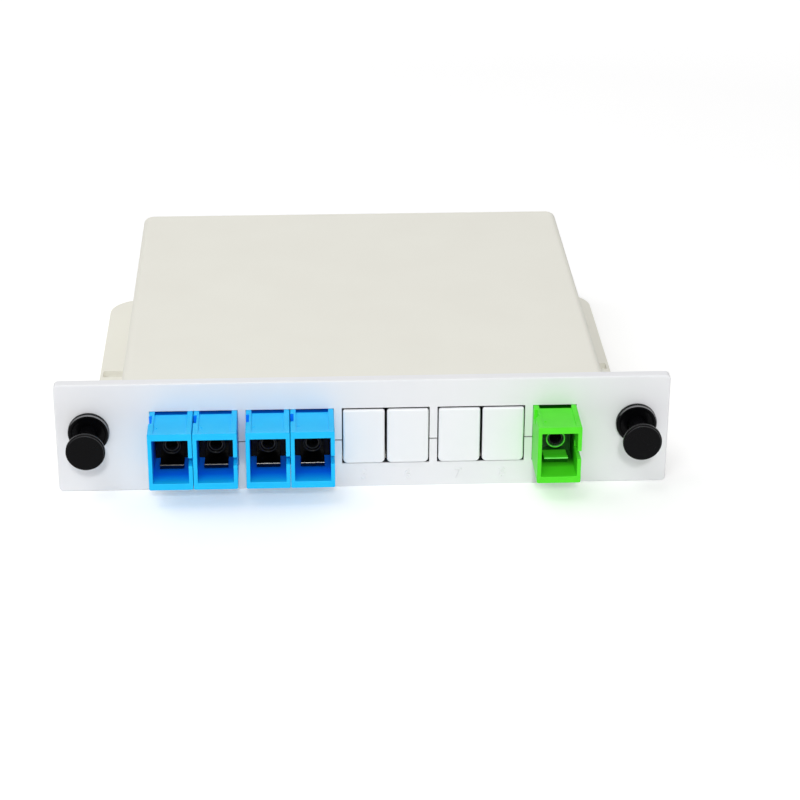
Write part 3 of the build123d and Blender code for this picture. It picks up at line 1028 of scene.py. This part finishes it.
    def shaded(self, middle: Vector, _: Vector) -> float:
        """Gives the painted shade of the faces in the mouth, the groove and the side notch.

        Args:
            middle: The face's middle.
            _: The way it faces, which plays no part here.

        Returns:
            The accent's share.
        """
        half_w, half_h = self.width / 2, self.height / 2
        x, y, z = middle.x - self.x, middle.y, middle.z - self.z
        mouth = (
            abs(x) < half_w - self.side + NEAR
            and abs(z) < half_h - self.floor + NEAR
            and self.front + NEAR < y < self.rear - NEAR
        )
        groove_length, groove_depth = self.groove
        groove = (
            abs(x) < half_w - self.field_margin + NEAR
            and half_h - groove_depth - NEAR < z < half_h - NEAR
            and self.panel_front - groove_length - NEAR < y < 0.0
        )
        notch_depth, notch_length, notch_height = self.notch
        notch_end = self.panel_front - self.notch_start
        notch = (
            -half_w + NEAR < x < -half_w + notch_depth + NEAR
            and half_h - notch_height - NEAR < z < half_h - NEAR
            and notch_end - notch_length - NEAR < y < notch_end + NEAR
        )
        if mouth or groove:
            return 1.0
        return self.notch_shade if notch and self.port != "in" else 0.0

    def latch_moulding(self) -> Item:
        """Shapes the inner moulding: plate, two hooked arms and the sleeve's tube.

        Returns:
            The moulding.
        """
        mouth_w = self.width / 2 - self.side - self.plate_gap
        mouth_h = self.height / 2 - self.floor - self.plate_gap
        front = self.middle - self.plate
        plate = self.block_at((-mouth_w, mouth_w), (front, self.middle), (-mouth_h, mouth_h))
        bore = [
            (self.middle + PAST, 0.0), (self.middle + PAST, self.plate_bore),
            (front - PAST, self.plate_bore), (front - PAST, 0.0),
        ]
        combine(plate, [turned(bore, self.x, self.z, self.bore_facets)], "DIFFERENCE")
        length, flat, rise = self.hook
        inner, outer = self.arm_inside, self.arm_inside + self.arm_thickness
        side = (
            (self.arm_root, inner), (self.arm_tip - length, inner),
            (self.arm_tip - length, inner - rise), (self.arm_tip - flat, inner - rise),
            (self.arm_tip, inner - rise + self.glint), (self.arm_tip - self.undercut, outer),
            (self.arm_root, outer),
        )
        parts = [
            prism(
                [(self.middle - y, self.z + up * z) for y, z in side],
                self.x - self.arm_width / 2, self.x + self.arm_width / 2,
            )
            for up in (-1, 1)
        ]
        root, end = self.middle - self.tube_root, self.middle - self.tube_end
        ease, lead = self.tube_ease, self.tube_lead
        tube = [(root, self.tube_bore), (root, self.tube_radius)]
        tube += arc(end + ease, self.tube_radius - ease, ease, 90, 180, self.rounding)
        tube += arc(end + lead, self.tube_lip_bore + lead, lead, 180, 270, self.rounding)
        tube += [(end + self.tube_lip, self.tube_lip_bore), (end + self.tube_lip, self.tube_bore)]
        parts.append(turned(tube, self.x, self.z, self.tube_facets))
        combine(plate, parts, "UNION")
        soften(plate, self.arm_edge)
        # Painted shade under the arms' tips and in the tube's lead-in.
        mark_faces(plate, self.shaded_end)
        return plate

    def shaded_end(self, middle: Vector, normal: Vector) -> float:
        """Gives the painted shade of the faces under the arms' tips and in the tube's lead-in.

        Args:
            middle: The face's middle.
            normal: The way it faces.

        Returns:
            The accent's share.
        """
        at_tip = middle.y < self.middle - self.arm_tip + self.undercut + self.tip_shade
        outward = normal.z * math.copysign(1.0, middle.z - self.z)
        under = at_tip and outward > self.tip_slope and normal.y < -self.tip_slope
        radius = math.hypot(middle.x - self.x, middle.z - self.z)
        in_tube = radius < self.tube_lip_bore + self.tube_lead
        return float(under or (in_tube and middle.y < self.middle - self.tube_shade))

    def build(self, palette: Palette) -> None:
        """Makes the adapter's pieces.

        Args:
            palette: The materials.
        """
        for shape, name, start in (
            (self.housing, "adapter_housing", "adapter"),
            (self.latch_moulding, "latch_arms", "front_holder"),
        ):
            node = f"{start}_{self.port}"
            adopt(
                shape(), f"{name}_{self.port}", node_slot(node), Body.ROOT, palette, (node,)
            )


@dataclass
class Blank:
    """A snap-in plug that closes an unused port.

    Attributes:
        port: The port's name.
        top_corner: Radius of its upper corners.
        bottom_corner: Radius of its lower corners.
        least_corner: Least radius of a corner further in.
        corner_steps: Facets of a corner.
        edge: Rounding of the face's edge.
        edge_steps: Facets of that rounding.
        crown: How far the face bulges.
        crown_steps: Rings of that bulge.
        flat: Half the width of the level middle of the face.
        wall: Wall of its skirt.
        face: Thickness of its face.
        ridge_rise: How far the ridges behind the panel stand out.
        ridge_width: Width of those ridges.
        ridge_depth: Where they start and end.
    """

    port: str
    top_corner: float = 0.5
    bottom_corner: float = 1.0
    least_corner: float = 0.08
    corner_steps: int = 6
    edge: float = 0.4
    edge_steps: int = 6
    crown: float = 0.06
    crown_steps: int = 5
    flat: float = 0.4
    wall: float = 1.0
    face: float = 1.2
    ridge_rise: float = 1.099
    ridge_width: float = 6.8
    ridge_depth: Pair = (0.05, 1.95)

    def __post_init__(self) -> None:
        """Reads the plug's place and size from its solid."""
        self.node = f"blank_{self.port}"
        self.x, self.z, self.front, self.rear = seat(self.node)
        low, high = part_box(self.node)
        self.half_w = (high.x - low.x) / 2 / MM
        self.ridge_top = (high.z - low.z) / 2 / MM
        self.half_h = self.ridge_top - self.ridge_rise

    def ring(self, shape: Shape, y: float, inset: float) -> list[bmesh.types.BMVert]:
        """Adds one ring of points round the plug.

        Args:
            shape: The working mesh.
            y: Depth of the ring.
            inset: How far inside the outline it runs.

        Returns:
            The ring's points, in order.
        """
        half_w, half_h = self.half_w - inset, self.half_h - inset
        points = []
        corners = (
            (1, 1, self.top_corner, 0), (-1, 1, self.top_corner, 90),
            (-1, -1, self.bottom_corner, 180), (1, -1, self.bottom_corner, 270),
        )
        for side, up, size, start in corners:
            radius = max(size - inset, self.least_corner)
            for k in range(self.corner_steps + 1):
                angle = math.radians(start + 90 * k / self.corner_steps)
                points.append(shape.verts.new(Vector((
                    self.x + side * (half_w - radius) + radius * math.cos(angle),
                    y,
                    self.z + up * (half_h - radius) + radius * math.sin(angle),
                )) * MM))
        return points

    def plug(self) -> Item:
        """Shapes the crowned face with its hollow skirt and ridges.

        Returns:
            The plug.
        """
        base = self.front + self.crown
        path = [(self.front + self.face, self.wall), (self.rear, self.wall), (self.rear, 0.0)]
        for k in range(self.edge_steps + 1):
            angle = math.radians(90 * k / self.edge_steps)
            path.append((
                base + self.edge * (1 - math.sin(angle)), self.edge * (1 - math.cos(angle))
            ))
        run = self.half_w - self.flat - self.edge
        for k in range(1, self.crown_steps + 1):
            share = k / self.crown_steps
            path.append((base - self.crown * (1 - (1 - share) ** 2), self.edge + run * share))
        work = bmesh.new()
        rings = [self.ring(work, y, inset) for y, inset in path]
        for ring, after in zip(rings, rings[1:]):
            count = len(ring)
            for i in range(count):
                j = (i + 1) % count
                work.faces.new((ring[i], ring[j], after[j], after[i]))
        work.faces.new(rings[0])
        work.faces.new(rings[-1])
        plug = add_shape("blank", work)
        root = self.half_h - self.wall / 2
        ridges = [
            block(
                (self.x - self.ridge_width / 2, self.ridge_depth[0], self.z + low),
                (self.x + self.ridge_width / 2, self.ridge_depth[1], self.z + high),
            )
            for low, high in ((root, self.ridge_top), (-self.ridge_top, -root))
        ]
        combine(plug, ridges, "UNION")
        soften(plug)
        return plug

    def build(self, palette: Palette) -> None:
        """Makes the plug's piece."""
        name = f"blank_plug_{self.port}"
        adopt(self.plug(), name, Slot.BLANK, Body.ROOT, palette, (self.node,))


@dataclass(frozen=True)
class PaintedHighlight:
    """A band of a round edge that carries a painted highlight.

    Attributes:
        inner: Its inner radius.
        outer: Its outer radius.
        end: Where it ends, behind the grommet's front.
        most: The accent's share where the painted highlight is strongest.
    """

    inner: float
    outer: float
    end: float
    most: float


@dataclass
class PushLatch:
    """A push latch in one ear of the panel: slit grommet and sliding plunger.

    Attributes:
        side: "left" or "right".
        body: The plunger's body.
        facets: Facets round both pieces.
        highlight_angle: Direction where the painted highlight is strongest, in degrees above +X.
        flange_highlight: The band of painted highlight on the grommet's flange.
        head_highlight: The band of painted highlight on the plunger's head.
        flange: Radius of the grommet's flange.
        flange_thickness: Its thickness.
        flange_edge: Rounding of its edge.
        rim: Width of the raised rim round its dished face.
        rim_lip: Rounding of that rim's inner edge.
        lip_turn: Angle in degrees at which that rounding starts.
        dish: How deep the face is dished.
        dish_ease: Start, rise and end of the slope from the dish to the rim.
        relief: Step behind the flange.
        neck: Radius of the grommet in the panel's hole.
        neck_length: Length of that part.
        leg: Radius of the legs.
        leg_length: Depth where the legs start to taper.
        leg_tip: Radius at the legs' ends.
        bore: Radius of the hole for the plunger.
        bore_ease: Depth and width of the chamfer in front of that hole.
        slit: Width of the slits between the legs.
        slit_start: Depth where the slits start.
        slit_reach: How far the slits' cutters reach from the axis.
        head: Radius of the plunger's head.
        head_thickness: Its thickness.
        head_edge: Rounding of its front edge.
        head_turn: Angle in degrees at which that rounding starts.
        back_edge: Rounding of its rear edge.
        crown: How far its face bulges.
        crown_steps: Rings of that bulge.
        shaft: Radius of the shaft.
        fillet: Slope from the head to the shaft.
        groove: Depth of the groove near the shaft's end.
        groove_length: Its length.
        groove_inset: Its distance from the end.
        tip: Chamfer of that end.
    """

    side: str
    body: Body
    facets: int = 96
    highlight_angle: float = 62.0
    flange_highlight: PaintedHighlight = PaintedHighlight(4.1, 4.4, 0.3, 0.8)
    head_highlight: PaintedHighlight = PaintedHighlight(3.78, 3.95, 0.0, 0.12)
    flange: float = 4.35
    flange_thickness: float = 1.5
    flange_edge: float = 0.42
    rim: float = 0.75
    rim_lip: float = 0.12
    lip_turn: float = 250.0
    dish: float = 0.25
    dish_ease: Point = (0.3, 0.06, 0.12)
    relief: float = 0.25
    neck: float = 3.2
    neck_length: float = 2.3
    leg: float = 3.0
    leg_length: float = 4.6
    leg_tip: float = 2.4
    bore: float = 2.0
    bore_ease: Pair = (0.1, 0.15)
    slit: float = 0.9
    slit_start: float = 1.0
    slit_reach: float = 4.0
    head: float = 4.1
    head_thickness: float = 1.15
    head_edge: float = 0.36
    head_turn: float = 165.0
    back_edge: float = 0.15
    crown: float = 0.16
    crown_steps: int = 8
    shaft: float = 1.96
    fillet: float = 0.25
    groove: float = 0.12
    groove_length: float = 1.0
    groove_inset: float = 1.2
    tip: float = 0.4

    def __post_init__(self) -> None:
        """Reads the latch's place from its solids."""
        self.x, self.z, self.front, self.rear = seat(f"latch_grommet_{self.side}")
        self.head_front, self.shaft_end = seat(f"latch_plunger_{self.side}")[2:]

    def grommet(self) -> Item:
        """Shapes the grommet, with its dished flange and four legs.

        Returns:
            The grommet.
        """
        front, edge, lip = self.front, self.flange_edge, self.rim_lip
        panel = front + self.flange_thickness
        face = front + self.dish
        rim_in = self.flange - self.rim
        slope_start, slope_rise, slope_end = self.dish_ease
        profile = [
            (face + self.bore_ease[0], self.bore), (face, self.bore + self.bore_ease[1]),
            (face, rim_in - slope_start), (face - slope_rise, rim_in - slope_end),
        ]
        profile += arc(front + lip, rim_in + lip, lip, self.lip_turn, 180, 3)
        profile += arc(front + edge, self.flange - edge, edge, 180, 90, 6)
        profile += [
            (panel - self.relief, self.flange), (panel - self.relief, self.flange - self.relief),
            (panel, self.flange - self.relief), (panel, self.neck),
            (panel + self.neck_length, self.neck), (panel + self.neck_length, self.leg),
            (self.leg_length, self.leg), (self.rear, self.leg_tip), (self.rear, self.bore),
        ]
        item = turned(profile, self.x, self.z, self.facets)
        half, reach = self.slit / 2, self.slit_reach
        cuts = [
            block(
                (self.x - half_x, self.slit_start, self.z - half_z),
                (self.x + half_x, self.rear + PAST, self.z + half_z),
            )
            for half_x, half_z in ((half, reach), (reach, half))
        ]
        combine(item, cuts, "DIFFERENCE")
        soften(item)
        # The flange's upper edge gets a painted highlight.
        mark_faces(item, lambda middle, _: self.painted_highlight_share(middle, self.flange_highlight))
        return item

    def painted_highlight_share(self, middle: Vector, band: PaintedHighlight) -> float:
        """Gives how much painted highlight a face on a rounded edge gets.

        Args:
            middle: The face's middle.
            band: The band of painted highlight.

        Returns:
            The accent's share.
        """
        x, z = middle.x - self.x, middle.z - self.z
        on_band = band.inner < math.hypot(x, z) < band.outer and middle.y < self.front + band.end
        towards = math.cos(math.atan2(z, x) - math.radians(self.highlight_angle))
        return band.most * math.sqrt(towards) if on_band and towards > 0 else 0.0

    def plunger(self) -> Item:
        """Shapes the plunger, with its crowned head and grooved shaft.

        Returns:
            The plunger.
        """
        front, edge, rear_edge = self.head_front, self.head_edge, self.back_edge
        back = front + self.head_thickness
        face = self.head - edge
        profile = [(front, 0.0)]
        for k in range(1, self.crown_steps + 1):
            radius = face * k / self.crown_steps
            profile.append((front + self.crown * (radius / face) ** 2, radius))
        profile += arc(front + self.crown + edge, face, edge, self.head_turn, 90, 5)
        profile += arc(back - rear_edge, self.head - rear_edge, rear_edge, 90, 0, 3)
        groove_end = self.shaft_end - self.groove_inset
        groove_start = groove_end - self.groove_length
        profile += [
            (back, self.shaft + self.fillet), (back + self.fillet, self.shaft),
            (groove_start, self.shaft), (groove_start, self.shaft - self.groove),
            (groove_end, self.shaft - self.groove), (groove_end, self.shaft),
            (self.shaft_end - self.tip, self.shaft), (self.shaft_end, self.shaft - self.tip),
            (self.shaft_end, 0.0),
        ]
        item = turned(profile, self.x, self.z, self.facets)
        soften(item)
        # The head's upper edge gets a painted highlight.
        mark_faces(item, lambda middle, _: self.painted_highlight_share(middle, self.head_highlight))
        return item

    def build(self, palette: Palette) -> None:
        """Makes the latch's two pieces.

        Args:
            palette: The materials.
        """
        for shape, name, body in (
            (self.grommet, "grommet", Body.ROOT), (self.plunger, "plunger", self.body),
        ):
            node = f"latch_{name}_{self.side}"
            adopt(shape(), f"{name}_{self.side}", Slot.NYLON, body, palette, (node,))


@dataclass(frozen=True)
class Lamp:
    """A round soft lamp.

    Attributes:
        name: The lamp's name.
        place: Where it stands.
        target: Where it points.
        size: Diameter.
        level: What it adds to a white surface that faces it, where 1 is white.
    """

    name: str
    place: Point
    target: Point
    size: float
    level: float

    def hang(self) -> None:
        """Makes the lamp."""
        place = Vector(self.place) * MM
        away = place - Vector(self.target) * MM
        light = bpy.data.lights.new(self.name, "AREA")
        light.shape = "DISK"
        light.size = self.size * MM
        light.energy = self.level * math.pi**2 * away.length_squared
        turn = away.to_track_quat("Z", "Y").to_matrix().to_4x4()
        add_item(self.name, light).matrix_world = Matrix.Translation(place) @ turn


@dataclass
class Studio:
    """Pale floor, plain soft light and the camera at the photograph's place.

    Attributes:
        camera: Camera position.
        yaw: Turn of the view to the right of +Y, in degrees.
        pitch: Downward tilt, in degrees.
        roll: Roll, in degrees.
        focal: Focal length in pixels of the 800 pixel frame.
        frame: Width of that frame in pixels.
        sensor: Width of the camera's sensor.
        clip: Nearest and furthest distance that it sees.
        ambient: Strength of the world's light, where 1 is white.
        paper: Colour of the floor, sRGB hex.
        floor_size: Distance of the floor's sides from its middle.
        floor_lift: What brings the floor near the object up to white for the camera.
        floor_near: Distance from the object within which it is no stronger.
        floor_far: Distance at which it is full white.
        lamps: The lamps.
    """

    camera: Point = (-14.4, -440.7, 229.4)
    yaw: float = 2.88
    pitch: float = 25.47
    roll: float = 0.25
    focal: float = 2304.5
    frame: float = 800.0
    sensor: float = 36.0
    clip: Pair = (10.0, 20000.0)
    ambient: float = 0.38
    paper: str = "#F6F6F6"
    floor_size: float = 6000.0
    floor_lift: float = 0.24
    floor_near: float = 300.0
    floor_far: float = 1500.0
    lamps: tuple[Lamp, ...] = (
        Lamp("key", (-8.0, -1180.0, 790.0), (0.0, 0.0, 12.0), 110.0, 0.28),
        Lamp("front_fill", (0.0, -1100.0, 640.0), (0.0, 0.0, 12.0), 900.0, 0.165),
        Lamp("front_top", (-300.0, -620.0, 1180.0), (0.0, 0.0, 12.0), 500.0, 0.15),
        Lamp("overhead", (-750.0, 80.0, 1060.0), (0.0, 45.0, 20.0), 800.0, 0.17),
        Lamp("rear_fill", (0.0, 1200.0, 700.0), (0.0, 60.0, 20.0), 900.0, 0.15),
    )

    def aim(self) -> None:
        """Makes the camera."""
        yaw, pitch, roll = (math.radians(a) for a in (self.yaw, self.pitch, self.roll))
        ahead = Vector((
            math.sin(yaw) * math.cos(pitch), math.cos(yaw) * math.cos(pitch), -math.sin(pitch)
        ))
        right = Vector((math.cos(yaw), -math.sin(yaw), 0))
        up = right.cross(ahead)
        x_axis = math.cos(roll) * right + math.sin(roll) * up
        y_axis = math.cos(roll) * up - math.sin(roll) * right
        turn = Matrix((x_axis, y_axis, -ahead)).transposed().to_4x4()
        lens = bpy.data.cameras.new("camera")
        lens.sensor_width = self.sensor
        lens.lens = self.focal / self.frame * self.sensor
        lens.clip_start, lens.clip_end = (distance * MM for distance in self.clip)
        camera = add_item("camera", lens)
        camera.matrix_world = Matrix.Translation(Vector(self.camera) * MM) @ turn
        bpy.context.scene.camera = camera

    def seen(self, tree: Tree) -> Socket:
        """Tells rays that show the background from rays that light the object.

        Args:
            tree: The node tree that asks.

        Returns:
            An output of 1 for camera, glossy and transmission rays.
        """
        path = add_node(tree, "LightPath").outputs
        seen = path["Is Camera Ray"]
        for kind in ("Is Glossy Ray", "Is Transmission Ray"):
            seen = add_node(
                tree, "Math", {"operation": "MAXIMUM"}, links={0: seen, 1: path[kind]}
            ).outputs[0]
        return seen

    def light(self) -> None:
        """Makes the world and the lamps."""
        world = bpy.data.worlds.new("studio")
        bpy.context.scene.world = world
        tree = fresh_tree(world)
        strength = add_node(
            tree, "MapRange", values={"To Min": self.ambient, "To Max": 1.0},
            links={"Value": self.seen(tree)},
        ).outputs["Result"]
        sky = add_node(tree, "Background", values={"Color": WHITE}, links={"Strength": strength})
        add_node(tree, "OutputWorld", links={"Surface": sky.outputs[0]})
        for lamp in self.lamps:
            lamp.hang()

    def lay_floor(self) -> None:
        """Makes the floor, white to the camera but for the object's shadow."""
        shape = bmesh.new()
        bmesh.ops.create_grid(shape, x_segments=1, y_segments=1, size=self.floor_size * MM)
        mesh = bpy.data.meshes.new("floor")
        shape.to_mesh(mesh)
        shape.free()
        floor = add_item("floor", mesh)
        material = bpy.data.materials.new("paper_sweep_matt")
        tree = fresh_tree(material)
        paper = add_node(tree, "BsdfDiffuse", values={"Color": linear(self.paper)})
        place = add_node(tree, "TexCoord").outputs["Object"]
        away = add_node(
            tree, "VectorMath", {"operation": "LENGTH"}, links={0: place}
        ).outputs["Value"]
        lift = add_node(
            tree, "MapRange",
            values={
                "From Min": self.floor_near * MM, "From Max": self.floor_far * MM,
                "To Min": self.floor_lift, "To Max": 1.0,
            },
            links={"Value": away},
        ).outputs["Result"]
        strength = add_node(
            tree, "Math", {"operation": "MULTIPLY"}, links={0: self.seen(tree), 1: lift}
        ).outputs[0]
        glow = add_node(tree, "Emission", values={"Color": WHITE}, links={"Strength": strength})
        both = add_node(tree, "AddShader", links={0: paper.outputs[0], 1: glow.outputs[0]})
        add_node(tree, "OutputMaterial", links={"Surface": both.outputs[0]})
        mesh.materials.append(material)


def main() -> None:
    """Builds the looks round the frame, piece by piece."""
    logging.basicConfig(level=logging.INFO, format="%(name)s: %(message)s")
    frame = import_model()
    bpy.context.scene.view_settings.view_transform = "Standard"
    studio = Studio()
    studio.aim()
    studio.light()
    studio.lay_floor()
    palette = Palette()
    for name, node in frame["nodes"].items():
        palette.dress(node, node_slot(name))
        LOG.info("%s: dressed as %s", name, node_slot(name).value)

    adapters, blanks = ("1", "2", "3", "4", "in"), ("5", "6", "7", "8")
    middles = {port: seat(f"adapter_{port}")[0] for port in adapters[:-1]}
    middles |= {port: seat(f"blank_{port}")[0] for port in blanks}
    middles["IN"] = seat("adapter_in")[0]
    PortNumbers(middles).build(palette)
    for port in adapters:
        Adapter(port).build(palette)
    for port in blanks:
        Blank(port).build(palette)
    PushLatch("left", Body.LEFT_PLUNGER).build(palette)
    PushLatch("right", Body.RIGHT_PLUNGER).build(palette)


if __name__ == "__main__":
    main()
